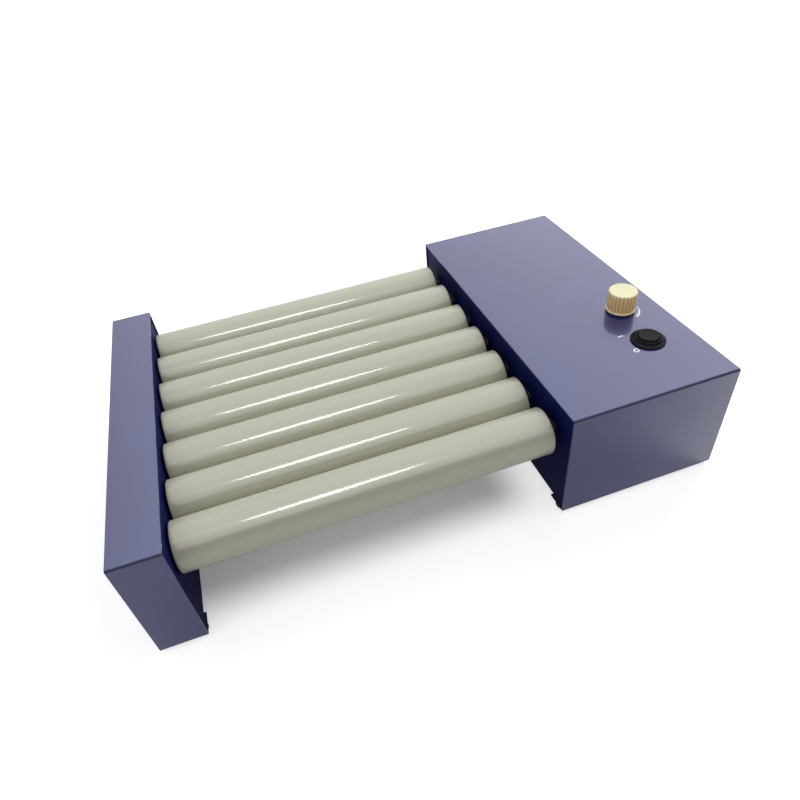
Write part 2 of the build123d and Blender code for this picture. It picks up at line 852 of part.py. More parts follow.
def control_board():
    """The circuit board: supply transformer, capacitors, finned heat sink and terminals."""
    x, y = board_centre()
    x0 = x - board_length / 2
    x1 = x + board_length / 2
    y0 = y - board_width / 2
    y1 = y + board_width / 2
    bottom = base_floor + board_standoff
    top = bottom + board_sheet
    board = block(x0, x1, y0, y1, bottom, top)
    hole = screw_diameter + 2 * screw_play
    board -= [bore_upright(hole, cx, cy, bottom, top) for cx, cy in board_corners()]
    half = transformer_size / 2
    core = x0 + board_corner + half
    board += block(core - half, core + half, y - half, y + half, top, top + transformer_height)
    tall = top + capacitor_height
    for side in (-1, 1):
        board += post(capacitor_diameter, x + half, y + side * capacitor_diameter, top, tall)
    sink = x1 - 2 * board_corner - 2
    half = heat_sink_length / 2
    board += block(sink, sink + heat_sink_sheet, y - half, y + half, top, tall)
    fin_pitch = (heat_sink_length - heat_sink_sheet) / (heat_sink_fins - 1)
    for fin in range(heat_sink_fins):
        fin_y = y - half + fin * fin_pitch
        board += block(sink, sink + heat_sink_depth, fin_y, fin_y + heat_sink_sheet, top, tall)
    half = terminal_length / 2
    near = y0 + board_corner
    board += block(x - half, x + half, near, near + terminal_width, top, top + terminal_height)
    return board


gear_profile = gear_outline()
roller_phases, idler_phases = gear_phases()
pinion_phase = meshing_phase(
    idler_places[driven_idler], idler_gear_axis, idler_phases[driven_idler], pinion_y, pinion_axis
)

for number, y in enumerate(roller_places, 1):
    save(f"roller_{number}_sleeve", roller_sleeve(y))
    save(f"roller_{number}_plugs", *roller_plugs(y))
    save(f"roller_{number}_shaft", roller_shaft(y))
    save(f"roller_{number}_gear", roller_gear(y, roller_phases[number - 1]))

for number, y in enumerate(idler_places, 1):
    save(f"idler_gear_{number}", idler_gear(y, idler_phases[number - 1]))

save("motor_pinion", motor_pinion(pinion_phase))
save("idler_gear_studs", *[idler_stud(y) for y in idler_places])
save("drive_bushes", *[bush(y, drive_wall_face, 1) for y in roller_places])
save("idler_bushes", *[bush(y, idler_wall_face, -1) for y in roller_places])
save("drive_base", drive_base())
save("drive_cover", drive_cover())
save("idler_base", idler_base())
save("idler_cover", cover(left_end, idler_edge) - cover_screw_holes())
save("tie_bars", *[tie_bar(y) for y in tie_bar_places])
drive_tie_screws = [tie_screw(y, drive_wall_back, 1) for y in tie_bar_places]
idler_tie_screws = [tie_screw(y, idler_wall_back, -1) for y in tie_bar_places]
save("tie_screws", *drive_tie_screws, *idler_tie_screws)
save("rubber_feet", *rubber_feet())
save("pan_head_screws", *pan_head_screws())
save("motor_bracket", motor_bracket())
save("gear_motor", gear_motor())
save("control_board", control_board())
save("board_standoffs", *board_standoffs())
save("speed_potentiometer", speed_potentiometer())
save("potentiometer_nut", potentiometer_nut())
save("speed_spindle", speed_spindle())
save("speed_knob", speed_knob())
save("power_switch", power_switch())
save("switch_nut", switch_nut_ring())
save("switch_button", switch_button())
save("power_inlet", power_inlet())
save("inlet_pins", *inlet_pins())
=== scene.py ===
import math

import bpy
import numpy as np
from mathutils import Matrix, Vector


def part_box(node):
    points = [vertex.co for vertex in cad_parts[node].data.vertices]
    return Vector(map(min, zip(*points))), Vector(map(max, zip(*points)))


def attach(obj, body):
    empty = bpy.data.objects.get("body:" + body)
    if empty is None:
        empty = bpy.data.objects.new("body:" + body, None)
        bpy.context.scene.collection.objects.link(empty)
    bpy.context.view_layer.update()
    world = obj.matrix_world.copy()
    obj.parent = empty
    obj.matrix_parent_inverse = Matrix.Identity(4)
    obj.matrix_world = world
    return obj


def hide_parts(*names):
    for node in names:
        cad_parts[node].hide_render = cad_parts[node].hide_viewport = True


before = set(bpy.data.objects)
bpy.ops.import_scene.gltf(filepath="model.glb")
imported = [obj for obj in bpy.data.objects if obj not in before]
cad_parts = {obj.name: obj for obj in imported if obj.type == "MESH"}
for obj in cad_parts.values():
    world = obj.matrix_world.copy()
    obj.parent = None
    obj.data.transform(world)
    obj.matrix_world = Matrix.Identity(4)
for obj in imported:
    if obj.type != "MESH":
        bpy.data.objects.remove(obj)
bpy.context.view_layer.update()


# The view: the photographer stands in front of the idler housing and looks down across the
# rollers, with the camera turned a little about its own axis.
camera_place = Vector((-0.0864, -0.3521, 0.3492))
camera_azimuth = math.radians(14.416)
camera_down = math.radians(41.289)
camera_roll = math.radians(-6.746)
camera_lens = 27.6

ahead = Vector((
    math.cos(camera_down) * math.sin(camera_azimuth),
    math.cos(camera_down) * math.cos(camera_azimuth),
    -math.sin(camera_down),
))
level_right = Vector((math.cos(camera_azimuth), -math.sin(camera_azimuth), 0))
level_up = level_right.cross(ahead)
image_right = math.cos(camera_roll) * level_right + math.sin(camera_roll) * level_up
image_up = -math.sin(camera_roll) * level_right + math.cos(camera_roll) * level_up

camera = bpy.data.objects.new("camera", bpy.data.cameras.new("camera"))
camera.data.lens = camera_lens
camera.data.sensor_width = 36
camera.data.clip_start = 0.01
camera.data.clip_end = 100
camera.matrix_world = Matrix.Translation(camera_place) @ Matrix((
    image_right, image_up, -ahead)).transposed().to_4x4()
bpy.context.scene.collection.objects.link(camera)
bpy.context.scene.camera = camera
bpy.context.scene.view_settings.view_transform = "Standard"


# The studio: a white surround that the glossy surfaces mirror brighter overhead and dim in front,
# where the room behind the photographer is dark. A soft panel stands behind on the right, a weaker
# one on the left, and a narrow oval light overhead draws one tapering line along each roller.
def node(tree, kind, inputs=None, **settings):
    """Adds one shader node: settings are its own values, inputs its sockets' values or links."""
    added = tree.nodes.new(kind)
    for name, value in settings.items():
        setattr(added, name, value)
    for name, value in (inputs or {}).items():
        if isinstance(value, bpy.types.NodeSocket):
            tree.links.new(value, added.inputs[name])
        else:
            added.inputs[name].default_value = value
    return added


def lamp(name, place, target, width, height, radiance, shape="RECTANGLE", lights=True,
         mirrored=True):
    """A soft panel at a place, facing a target, that lights matt surfaces, is mirrored in glossy
    ones, or both. Power is radiance times area times pi, and an ellipse has pi / 4 of the area."""
    light = bpy.data.lights.new(name, "AREA")
    light.shape = shape
    light.size = width
    light.size_y = height
    area = width * height * (math.pi / 4 if shape == "ELLIPSE" else 1)
    light.energy = radiance * area * math.pi
    holder = bpy.data.objects.new(name, light)
    facing = Vector(target) - Vector(place)
    turn = facing.to_track_quat("-Z", "Y").to_matrix().to_4x4()
    holder.matrix_world = Matrix.Translation(place) @ turn
    holder.visible_camera = False
    holder.visible_diffuse = lights
    holder.visible_glossy = mirrored
    bpy.context.scene.collection.objects.link(holder)


studio_white = (1, 1, 1, 1)
camera_white = 1
surround_level = 0.43
overhead = (0.2, -0.15, 0.97)
overhead_level = 2.37
room_level = 0.15

world = bpy.data.worlds.new("studio")
bpy.context.scene.world = world
world.use_nodes = True
sky = world.node_tree
sky.nodes.clear()
# Glossy rays meet the surround above, the camera meets plain white, and the rest a dim white.
path = node(sky, "ShaderNodeLightPath")
towards = node(sky, "ShaderNodeTexCoord").outputs["Generated"]
direction = node(sky, "ShaderNodeSeparateXYZ", {"Vector": towards})
height = node(sky, "ShaderNodeVectorMath", {0: towards, 1: overhead}, operation="DOT_PRODUCT")
mirrored = node(sky, "ShaderNodeMapRange", {
    "Value": height.outputs["Value"], "From Min": 0.25, "From Max": 0.8, "To Min": 0.99,
    "To Max": overhead_level})
behind = node(sky, "ShaderNodeMapRange", {"Value": direction.outputs["Y"], "From Min": -0.25,
                                          "From Max": 0.1}, interpolation_type="SMOOTHSTEP")
above = node(sky, "ShaderNodeMapRange", {"Value": direction.outputs["Z"], "From Min": 0.45,
                                         "From Max": 0.6}, interpolation_type="SMOOTHSTEP")
room = node(sky, "ShaderNodeMath", {0: behind.outputs[0], 1: above.outputs[0]}, operation="MAXIMUM")
room = node(sky, "ShaderNodeMapRange", {"Value": room.outputs[0], "To Min": room_level})
mirrored = node(sky, "ShaderNodeMath", {0: mirrored.outputs[0], 1: room.outputs[0]},
                operation="MULTIPLY")
seen = node(sky, "ShaderNodeMath", {0: path.outputs["Is Camera Ray"],
                                    1: path.outputs["Is Transmission Ray"]}, operation="MAXIMUM")
dim = node(sky, "ShaderNodeBackground", {"Color": studio_white, "Strength": surround_level})
plain = node(sky, "ShaderNodeBackground", {"Color": studio_white, "Strength": camera_white})
bright = node(sky, "ShaderNodeBackground", {"Color": studio_white, "Strength": mirrored.outputs[0]})
blend = node(sky, "ShaderNodeMixShader", {0: path.outputs["Is Glossy Ray"], 1: dim.outputs[0],
                                          2: bright.outputs[0]})
blend = node(sky, "ShaderNodeMixShader", {0: seen.outputs[0], 1: blend.outputs[0],
                                          2: plain.outputs[0]})
node(sky, "ShaderNodeOutputWorld", {"Surface": blend.outputs[0]})

lamp("panel_right", (1.0, 1.0, 1.27), (0.05, 0, 0.05), width=1.3, height=0.9, radiance=5.4,
     mirrored=False)
lamp("oval_above", (-0.01, -0.6, 1.33), (-0.01, -0.1, 0.06), width=0.52, height=0.28,
     radiance=18.0, shape="ELLIPSE", lights=False)
lamp("panel_left", (-1.5, -0.5, 1.3), (0, 0, 0.05), width=0.9, height=0.9, radiance=0.8,
     mirrored=False)


# The floor: a wide sheet of matt white paper. It glows a little, so that it looks white and keeps the
# machine's shadow, and it glows less in the bay under the rollers: a painted shadow where little light
# comes.
floor_size = 12.0
floor_albedo = 0.86
glow_open = 0.66
glow_between = 0.16
glow_mirrored = 0.27
bay_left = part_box("idler_cover")[1].x
bay_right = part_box("drive_cover")[0].x
bay_half_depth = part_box("drive_cover")[1].y
bay_fade = 0.04
under_wall = 0.015

floor_mesh = bpy.data.meshes.new("floor")
half_floor = floor_size / 2
floor_mesh.from_pydata(
    [(-half_floor, -half_floor, 0), (half_floor, -half_floor, 0),
     (half_floor, half_floor, 0), (-half_floor, half_floor, 0)], [], [(0, 1, 2, 3)])
floor = bpy.data.objects.new("floor", floor_mesh)
bpy.context.scene.collection.objects.link(floor)
sweep = bpy.data.materials.new("white_paper_sweep")
sweep.use_nodes = True
paper = sweep.node_tree
paper.nodes.clear()
matt = node(paper, "ShaderNodeBsdfDiffuse", {"Color": (floor_albedo, floor_albedo, floor_albedo, 1)})
place = node(paper, "ShaderNodeSeparateXYZ", {
    "Vector": node(paper, "ShaderNodeTexCoord").outputs["Object"]})
# Four soft edges, multiplied, make the bay, where the lower glow paints the shadow.
shade = None
for value, edge, full in (
        (place.outputs["X"], bay_left - under_wall, bay_left - under_wall / 3),
        (place.outputs["X"], bay_right, bay_right - bay_fade),
        (place.outputs["Y"], -bay_half_depth, bay_fade - bay_half_depth),
        (place.outputs["Y"], bay_half_depth, bay_half_depth - bay_fade)):
    ramp = node(paper, "ShaderNodeMapRange", {"Value": value, "From Min": edge, "From Max": full},
                interpolation_type="SMOOTHSTEP")
    if shade is None:
        shade = ramp.outputs[0]
    else:
        shade = node(paper, "ShaderNodeMath", {0: shade, 1: ramp.outputs[0]},
                     operation="MULTIPLY").outputs[0]
level = node(paper, "ShaderNodeMapRange", {"Value": shade, "To Min": glow_open,
                                           "To Max": glow_between})
path = node(paper, "ShaderNodeLightPath")
seen = node(paper, "ShaderNodeMath", {0: path.outputs["Is Glossy Ray"], 1: glow_mirrored,
                                      2: path.outputs["Is Camera Ray"]}, operation="MULTIPLY_ADD")
glow = node(paper, "ShaderNodeMath", {0: seen.outputs[0],
                                      1: level.outputs[0]}, operation="MULTIPLY")
glow = node(paper, "ShaderNodeEmission", {"Color": studio_white, "Strength": glow.outputs[0]})
both = node(paper, "ShaderNodeAddShader", {0: matt.outputs[0], 1: glow.outputs[0]})
node(paper, "ShaderNodeOutputMaterial", {"Surface": both.outputs[0]})
floor_mesh.materials.append(sweep)


# The two bases: bearing wall, floor and end wall of each housing, folded from 1.5 mm steel. Their
# powder coat is glossy and blue outside. The bearing walls are matt, and their colour is a painted
# shade, much darker, so they look nearly black.
def linear(hex_colour):
    """An sRGB hex colour as linear red, green, blue and 1, by the standard curve."""
    channels = [int(hex_colour[i:i + 2], 16) / 255 for i in (1, 3, 5)]
    straight = [c / 12.92 if c <= 0.04045 else ((c + 0.055) / 1.055) ** 2.4 for c in channels]
    return (*straight, 1)


def finish(name, **shader_values):
    """A material with one Principled shader, and its tree, shader and Object coordinates."""
    material = bpy.data.materials.new(name)
    material.use_nodes = True
    tree = material.node_tree
    shader = tree.nodes["Principled BSDF"]
    for socket, value in shader_values.items():
        shader.inputs[socket.replace("_", " ")].default_value = value
    place = node(tree, "ShaderNodeTexCoord").outputs["Object"]
    return material, tree, shader, place


def wear(node_names, material):
    """Gives CAD nodes their material in every slot."""
    for name in node_names:
        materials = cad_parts[name].data.materials
        materials.clear()
        materials.append(material)


def powder_coat(tree, shader, place):
    """The coat's orange peel and the sheet's slight waves, as bumps on both of its layers."""
    peel = node(tree, "ShaderNodeTexNoise", {"Vector": place, "Scale": 1 / orange_peel,
                                             "Detail": 2.0})
    waves = node(tree, "ShaderNodeTexNoise", {"Vector": place, "Scale": 1 / sheet_waviness,
                                              "Detail": 1.0})
    fine = node(tree, "ShaderNodeBump", {"Height": peel.outputs["Fac"], "Strength": 0.06,
                                         "Distance": 0.0001})
    broad = node(tree, "ShaderNodeBump", {"Height": waves.outputs["Fac"], "Strength": 0.12,
                                          "Distance": 0.0012, "Normal": fine.outputs[0]})
    tree.links.new(broad.outputs[0], shader.inputs["Normal"])
    tree.links.new(broad.outputs[0], shader.inputs["Coat Normal"])


coat_blue = "#262F76"
coat_deep = "#222A6D"
wall_shade_blue = "#0C134E"
wall_shade_deep = "#080E42"
orange_peel = 0.0009
sheet_waviness = 0.035
patch_size = 0.05
wall_zone = 0.003

base_coat, tree, shader, place = finish(
    "blue_powder_coat_painted_wall_shade", IOR=1.5, Specular_IOR_Level=0.07, Coat_Roughness=0.08, Coat_IOR=1.5)
patches = node(tree, "ShaderNodeTexNoise", {"Vector": place, "Scale": 1 / patch_size,
                                            "Detail": 3.0})
patches = node(tree, "ShaderNodeMapRange", {"Value": patches.outputs["Fac"], "From Min": 0.3,
                                            "From Max": 0.7})
outside = node(tree, "ShaderNodeMix", {"Factor": patches.outputs[0], 6: linear(coat_deep),
                                       7: linear(coat_blue)}, data_type="RGBA")
# The bearing walls' colour: painted shade, much darker than the coat outside.
painted_wall_shade = node(tree, "ShaderNodeMix", {"Factor": patches.outputs[0], 6: linear(wall_shade_deep),
                                      7: linear(wall_shade_blue)}, data_type="RGBA")
along = node(tree, "ShaderNodeSeparateXYZ", {"Vector": place})
from_middle = node(tree, "ShaderNodeMath", {0: along.outputs["X"], 1: (bay_left + bay_right) / 2},
                   operation="SUBTRACT")
from_middle = node(tree, "ShaderNodeMath", {0: from_middle.outputs[0]}, operation="ABSOLUTE")
half_bay = (bay_right - bay_left) / 2
outer = node(tree, "ShaderNodeMapRange", {
    "Value": from_middle.outputs[0], "From Min": half_bay + wall_zone,
    "From Max": half_bay + 2 * wall_zone})
colour = node(tree, "ShaderNodeMix", {"Factor": outer.outputs[0], 6: painted_wall_shade.outputs[2],
                                      7: outside.outputs[2]}, data_type="RGBA")
tree.links.new(colour.outputs[2], shader.inputs["Base Color"])
rough = node(tree, "ShaderNodeMapRange", {"Value": outer.outputs[0], "To Min": 0.6, "To Max": 0.32})
tree.links.new(rough.outputs[0], shader.inputs["Roughness"])
gloss = node(tree, "ShaderNodeMapRange", {"Value": outer.outputs[0], "To Min": 0.02, "To Max": 1.0})
tree.links.new(gloss.outputs[0], shader.inputs["Coat Weight"])
powder_coat(tree, shader, place)
wear(["drive_base", "idler_base"], base_coat)


# Bushes and end plugs: black acetal, moulded, and pressed into the bearing walls and the pipes.
# They look a soft, dull black. The mould's grain is drawn coarser than its real 0.1 mm, to show.
acetal_black = "#0E0E10"
acetal_soot = "#1B1B1E"
mould_grain = 0.0006

black_acetal, tree, shader, place = finish("black_acetal", Roughness=0.45, IOR=1.48)
grain = node(tree, "ShaderNodeTexNoise", {"Vector": place, "Scale": 1 / mould_grain, "Detail": 3.0})
colour = node(tree, "ShaderNodeMix", {"Factor": grain.outputs["Fac"], 6: linear(acetal_black),
                                      7: linear(acetal_soot)}, data_type="RGBA")
tree.links.new(colour.outputs[2], shader.inputs["Base Color"])
bump = node(tree, "ShaderNodeBump", {"Height": grain.outputs["Fac"], "Strength": 0.2,
                                     "Distance": 0.00005})
tree.links.new(bump.outputs[0], shader.inputs["Normal"])
wear(["drive_bushes", "idler_bushes"], black_acetal)
wear([f"roller_{n}_plugs" for n in range(1, 8)], black_acetal)


# The gears on the shafts and the idler gears on their studs: white acetal, moulded. They look
# milky, with a little grey in the tone and a dull grain from the mould.
acetal_white = "#D9D8D0"
acetal_grey = "#C2C1B8"

acetal, tree, shader, place = finish("white_acetal", Roughness=0.42, IOR=1.48)
grain = node(tree, "ShaderNodeTexNoise", {"Vector": place, "Scale": 1 / mould_grain, "Detail": 3.0})
colour = node(tree, "ShaderNodeMix", {"Factor": grain.outputs["Fac"], 6: linear(acetal_grey),
                                      7: linear(acetal_white)}, data_type="RGBA")
tree.links.new(colour.outputs[2], shader.inputs["Base Color"])
bump = node(tree, "ShaderNodeBump", {"Height": grain.outputs["Fac"], "Strength": 0.2,
                                     "Distance": 0.00005})
tree.links.new(bump.outputs[0], shader.inputs["Normal"])
wear([f"roller_{n}_gear" for n in range(1, 8)], acetal)
wear([f"idler_gear_{n}" for n in range(1, 7)], acetal)


# Shafts, studs, tie bars, the knob's spindle and the motor's pinion: bright ground steel. Rings
# from grinding draw the light out round the axis. They are coarser here than real ones, to show.
steel_bright = "#B9BBBD"
steel_dull = "#8D9093"
grinding_pitch = 0.0004

ground_steel, tree, shader, place = finish("ground_steel", Metallic=1.0, Roughness=0.28)
along = node(tree, "ShaderNodeMapping", {"Vector": place, "Scale": (1, 0.02, 0.02)})
rings = node(tree, "ShaderNodeTexNoise", {"Vector": along.outputs[0], "Scale": 1 / grinding_pitch,
                                          "Detail": 4.0})
colour = node(tree, "ShaderNodeMix", {"Factor": rings.outputs["Fac"], 6: linear(steel_dull),
                                      7: linear(steel_bright)}, data_type="RGBA")
tree.links.new(colour.outputs[2], shader.inputs["Base Color"])
bump = node(tree, "ShaderNodeBump", {"Height": rings.outputs["Fac"], "Strength": 0.15,
                                     "Distance": 0.00003})
tree.links.new(bump.outputs[0], shader.inputs["Normal"])
wear([f"roller_{n}_shaft" for n in range(1, 8)], ground_steel)
wear(["idler_gear_studs", "tie_bars", "motor_pinion", "speed_spindle"], ground_steel)


# Motor, bracket, screws and the speed control's case: pressed or turned steel, zinc plated. The
# thin plating's cloudy spangle gives a grey, broken shine.
zinc_light = "#AEB1B6"
zinc_dark = "#7F838A"
spangle = 0.004

zinc, tree, shader, place = finish("zinc_plated_steel", Metallic=1.0, Roughness=0.38)
clouds = node(tree, "ShaderNodeTexNoise", {"Vector": place, "Scale": 1 / spangle, "Detail": 4.0})
colour = node(tree, "ShaderNodeMix", {"Factor": clouds.outputs["Fac"], 6: linear(zinc_dark),
                                      7: linear(zinc_light)}, data_type="RGBA")
tree.links.new(colour.outputs[2], shader.inputs["Base Color"])
rough = node(tree, "ShaderNodeMapRange", {"Value": clouds.outputs["Fac"], "To Min": 0.3,
                                          "To Max": 0.5})
tree.links.new(rough.outputs[0], shader.inputs["Roughness"])
wear(["gear_motor", "motor_bracket", "speed_potentiometer", "tie_screws", "pan_head_screws"], zinc)


# The control board with its parts: green solder mask over woven glass fibre. The weave shows
# through as small squares, coarser here than the real half millimetre.
mask_green = "#123F26"
mask_dark = "#0B2C1A"
weave_pitch = 0.0011

board, tree, shader, place = finish("green_solder_mask", Roughness=0.3, IOR=1.5)
weave = node(tree, "ShaderNodeTexChecker", {"Vector": place, "Scale": 1 / weave_pitch,
                                            "Color1": linear(mask_green), "Color2": linear(mask_dark)})
tree.links.new(weave.outputs["Color"], shader.inputs["Base Color"])
wear(["control_board"], board)


# The board's spacers, the speed control's nut and the inlet's pins: turned brass, nickel plated,
# a warm, bright metal with faint clouds.
nickel_light = "#C9C4B4"
nickel_dark = "#9C9788"

nickel, tree, shader, place = finish("nickel_plated_brass", Metallic=1.0, Roughness=0.25)
clouds = node(tree, "ShaderNodeTexNoise", {"Vector": place, "Scale": 1 / spangle, "Detail": 3.0})
colour = node(tree, "ShaderNodeMix", {"Factor": clouds.outputs["Fac"], 6: linear(nickel_dark),
                                      7: linear(nickel_light)}, data_type="RGBA")
tree.links.new(colour.outputs[2], shader.inputs["Base Color"])
wear(["board_standoffs", "potentiometer_nut", "inlet_pins"], nickel)


# The seven rollers: grey PVC pipe, extruded, cut to length and deburred, with plugs pressed in.
# The wall looks milky grey under a clear gloss, with faint lines along it and duller, scuffed
# patches, and both rims are softly rounded.
def smooth_mesh(name, points, wrap_rows, wrap_columns, sharp=35, caps=()):
    """A mesh from a grid of points [rows, columns, 3]: every four neighbours make one face, the
    grid closes on itself where asked, caps are more faces by point number, and edges that turn by
    more than sharp degrees stay crisp."""
    rows, columns = points.shape[:2]
    index = np.arange(rows * columns).reshape(rows, columns)
    if wrap_rows:
        index = np.vstack([index, index[:1]])
    if wrap_columns:
        index = np.hstack([index, index[:, :1]])
    faces = np.stack([index[:-1, :-1], index[:-1, 1:], index[1:, 1:], index[1:, :-1]], axis=-1)
    mesh = bpy.data.meshes.new(name)
    mesh.from_pydata(points.reshape(-1, 3).tolist(), [], faces.reshape(-1, 4).tolist() + list(caps))
    return crisp(mesh, sharp)


def crisp(mesh, sharp):
    """Smooths a mesh apart from the edges that turn by more than sharp degrees."""
    mesh.polygons.foreach_set("use_smooth", np.ones(len(mesh.polygons), bool))
    mesh.set_sharp_from_angle(angle=math.radians(sharp))
    return mesh


def piece(name, mesh, material, body, slot, *nodes):
    """Puts a mesh in the scene as a piece that rides on a body and stands for CAD nodes."""
    mesh.materials.append(material)
    made = bpy.data.objects.new(name, mesh)
    bpy.context.scene.collection.objects.link(made)
    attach(made, body)
    if nodes:
        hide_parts(*nodes)


def turned(along, radius, centre, axis, steps):
    """Points of a turned piece. Each profile point keeps its place along the axis and goes round
    it in equal steps, at radius times cosine and radius times sine of the angle. Axis 0 is X and
    axis 2 is Z, and centre is a point on it."""
    angle = np.linspace(0, 2 * np.pi, steps, endpoint=False)
    across = radius[:, None] * np.cos(angle)
    up = radius[:, None] * np.sin(angle)
    reach = np.repeat(along[:, None], steps, axis=1)
    parts = (reach, across, up) if axis == 0 else (across, up, reach)
    return np.stack(parts, axis=-1) + np.array(centre)


def quarter(centre_along, centre_radius, size, start, finish_angle, steps=6):
    """Profile points on an arc: the centre plus size times the cosine of the angle along the axis
    and its sine across it, from one angle to another in degrees."""
    angle = np.radians(np.linspace(start, finish_angle, steps))
    return centre_along + size * np.cos(angle), centre_radius + size * np.sin(angle)


roller_wall = 0.0024
rim_round = 0.0009
bore_round = 0.0005
lead = 0.0004
roller_steps = 160
pipe_lit = "#C4C4B1"
pipe_shade = "#BBBBA6"
extrusion_width = 0.0016
extrusion_length = 0.25
scuff_size = 0.012

pipe, tree, shader, place = finish(
    "grey_pvc_pipe", Roughness=0.42, IOR=1.5, Coat_Weight=0.8, Coat_Roughness=0.06)
stretch = node(tree, "ShaderNodeMapping", {"Vector": place,
                                           "Scale": (extrusion_width / extrusion_length, 1, 1)})
lines = node(tree, "ShaderNodeTexNoise", {"Vector": stretch.outputs[0],
                                          "Scale": 1 / extrusion_width,
                                          "Detail": 3.0})
share = node(tree, "ShaderNodeMapRange", {"Value": lines.outputs["Fac"], "From Min": 0.25,
                                          "From Max": 0.75})
colour = node(tree, "ShaderNodeMix", {"Factor": share.outputs[0], 6: linear(pipe_shade),
                                      7: linear(pipe_lit)}, data_type="RGBA")
tree.links.new(colour.outputs[2], shader.inputs["Base Color"])
scuffs = node(tree, "ShaderNodeTexNoise", {"Vector": place, "Scale": 1 / scuff_size, "Detail": 5.0})
rough = node(tree, "ShaderNodeMapRange", {"Value": scuffs.outputs["Fac"], "To Min": 0.36,
                                          "To Max": 0.5})
tree.links.new(rough.outputs[0], shader.inputs["Roughness"])
bump = node(tree, "ShaderNodeBump", {"Height": lines.outputs["Fac"], "Strength": 0.03,
                                     "Distance": 0.0001})
tree.links.new(bump.outputs[0], shader.inputs["Normal"])

for n in range(1, 8):
    low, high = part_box(f"roller_{n}_sleeve")
    radius = (high.z - low.z) / 2
    bore = radius - roller_wall
    # A ring of points lies a lead away from each rounding, so the long walls stay straight.
    profile = [
        quarter(low.x + rim_round, radius - rim_round, rim_round, 180, 90),
        ((low.x + rim_round + lead, high.x - rim_round - lead), (radius, radius)),
        quarter(high.x - rim_round, radius - rim_round, rim_round, 90, 0),
        quarter(high.x - bore_round, bore + bore_round, bore_round, 0, -90),
        ((high.x - bore_round - lead, low.x + bore_round + lead), (bore, bore)),
        quarter(low.x + bore_round, bore + bore_round, bore_round, 270, 180),
    ]
    along, reach = np.hstack(profile)
    centre = (0, (low.y + high.y) / 2, (low.z + high.z) / 2)
    points = turned(along, reach, centre, 0, roller_steps)
    sleeve = smooth_mesh(f"roller_{n}_pipe", points, True, True)
    piece(f"roller_{n}_pipe", sleeve, pipe, f"roller_{n}", "grey_pipe", f"roller_{n}_sleeve")


# The two covers: front, top and back folded from one 1.2 mm steel sheet, lips turned in below, drilled
# for the controls and the screws. The powder coat looks glossy blue-violet through a fine orange peel.
# Over the sharp folds and the lips its colour is a painted shade, darker, and its coat there is
# thinner and duller.
painted_fold_shade = "#10143A"
cover_sheet = 0.0012
fold_radius = 0.0016
cut_edge_round = 0.00025
lip_width = 0.016
fold_steps = 9
cut_edge_steps = 4
drill_steps = 64
control_hole = 0.0071
switch_hole = 0.0195
screw_hole = 0.0031
screw_from_face = 0.009
screw_from_end = 0.03


def sheet_section(low, high):
    """The middle line of the folded sheet in Y and Z, from one lip's free edge round to the
    other's, and each point's outward normal. A bend is a quarter circle, with one more point a
    lead before it and one after it, so that the flat faces stay flat."""
    inset = cover_sheet / 2
    bend = fold_radius - inset
    near, far = low.y + fold_radius, high.y - fold_radius
    base, top = low.z + fold_radius, high.z - fold_radius
    step = np.concatenate([[-lead], np.zeros(fold_steps), [lead]])
    lines = [[(low.y + lip_width, low.z + inset, 270)]]
    for y, z, start in ((near, base, 270), (near, top, 180), (far, top, 90), (far, base, 0)):
        angle = np.concatenate([[start], np.linspace(start, start - 90, fold_steps), [start - 90]])
        turn = np.radians(angle)
        lines.append(np.stack([y + bend * np.cos(turn) + step * np.sin(turn),
                               z + bend * np.sin(turn) - step * np.cos(turn), angle], axis=-1))
    lines.append([(high.y - lip_width, low.z + inset, -90)])
    path = np.vstack(lines)
    turn = np.radians(path[:, 2])
    return path[:, :2], np.stack([np.cos(turn), np.sin(turn)], axis=-1)


def folded_sheet(name, low, high):
    """The section, as a closed strip, carried along X. Over the last quarter millimetre before
    each cut edge the strip's two sides draw in on a quarter circle, and a row of faces between
    them closes the end."""
    line, normal = sheet_section(low, high)
    arc = np.radians(np.linspace(90, 0, cut_edge_steps))
    along = cut_edge_round * (1 - np.sin(arc))
    draw = cut_edge_round * (1 - np.cos(arc))
    stations = np.concatenate([high.x - along, low.x + along[::-1]])
    half = cover_sheet / 2 - np.concatenate([draw, draw[::-1]])[:, None, None]
    loop = np.concatenate([line + normal * half, (line - normal * half)[:, ::-1]], axis=1)
    reach = np.repeat(stations[:, None, None], loop.shape[1], axis=1)
    near = np.arange(len(line) - 1)
    opposite = loop.shape[1] - 1 - near
    cap = np.stack([near, opposite, opposite - 1, near + 1], axis=-1)
    last = cap[:, ::-1] + (len(stations) - 1) * loop.shape[1]
    return smooth_mesh(name, np.concatenate([reach, loop], axis=-1), False, True,
                       caps=cap.tolist() + last.tolist())


def drilled(mesh, holes):
    """The mesh less upright round holes, each given as x, y, middle z and diameter. A drill is a
    cylinder with a flat face at both ends, twice as long as the sheet is thick on either side."""
    blank = bpy.data.objects.new("blank", mesh)
    helpers = [blank]
    for x, y, z, diameter in holes:
        ends = z + np.array([-2, 2]) * cover_sheet
        rings = turned(ends, np.full(2, diameter / 2), (x, y, 0), 2, drill_steps)
        caps = [list(range(drill_steps))[::-1], list(range(drill_steps, 2 * drill_steps))]
        drill = bpy.data.objects.new("drill", smooth_mesh("drill", rings, False, True, caps=caps))
        cut = blank.modifiers.new("hole", "BOOLEAN")
        cut.object = drill
        cut.solver = "EXACT"
        helpers.append(drill)
    for helper in helpers:
        bpy.context.scene.collection.objects.link(helper)
    bpy.context.view_layer.update()
    ready = blank.evaluated_get(bpy.context.evaluated_depsgraph_get())
    cut_mesh = bpy.data.meshes.new_from_object(ready)
    cut_mesh.name = mesh.name
    cut_mesh.materials.clear()
    for helper in helpers:
        bpy.data.objects.remove(helper)
    return crisp(cut_mesh, sharp=50)


